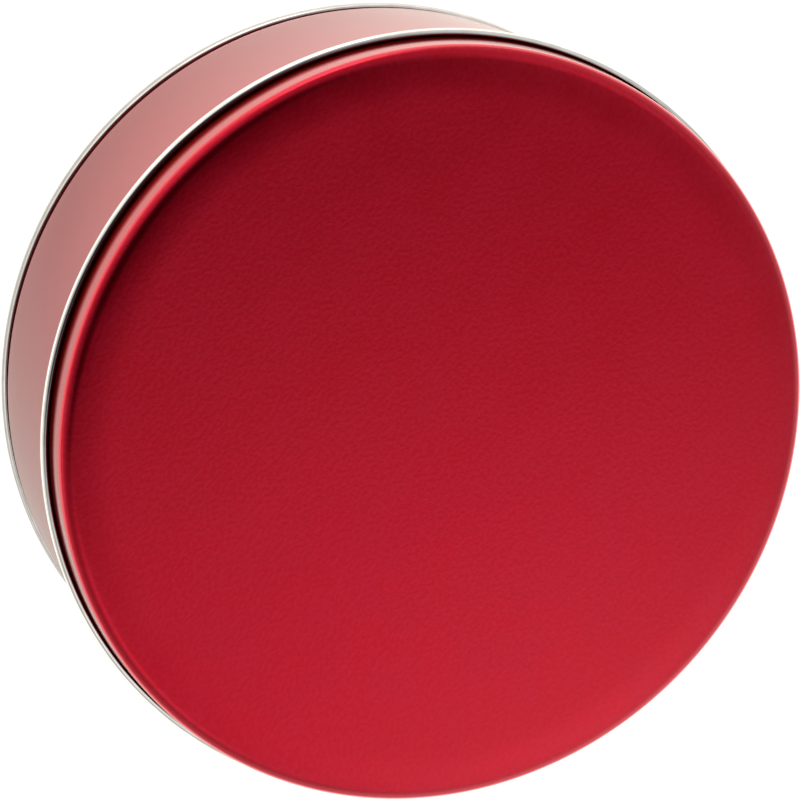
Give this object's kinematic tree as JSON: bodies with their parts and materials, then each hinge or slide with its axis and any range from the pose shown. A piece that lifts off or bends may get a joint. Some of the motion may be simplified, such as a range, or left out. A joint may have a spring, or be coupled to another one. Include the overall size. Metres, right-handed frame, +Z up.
{
  "type": "rosin cake in a round slip-lid tin",
  "caption": "Cake of bow rosin in a spun cup, wrapped in cloth and kept in a shallow round tin with a slip lid.",
  "frame": {"origin": "centre of the circle that the bottom seam rests on", "axes": "+Z up along the tin's axis, towards the lid"},
  "size_m": [0.0738, 0.0738, 0.026],
  "materials": {
    "red_enamel": "satin",
    "bare_tinplate": "satin",
    "felt": "matte",
    "velvet": "matte",
    "spun_aluminium": "satin",
    "rosin": "gloss"
  },
  "bodies": {
    "tin": {"body_wall": "red_enamel", "bottom_end": "bare_tinplate", "base_pad": "felt"},
    "cake": {"wrap_cloth": "velvet", "rosin_cup": "spun_aluminium", "rosin_cake": "rosin"},
    "lid": {"lid_shell": "red_enamel", "lid_pad": "felt"}
  },
  "joints": [
    {"name": "cake_lift", "type": "slide", "parent": "tin", "child": "cake", "axis": [0, 0, 1], "range_m": [0, 0.035]},
    {"name": "lid_lift", "type": "slide", "parent": "cake", "child": "lid", "axis": [0, 0, 1], "range_m": [0, 0.09]}
  ]
}
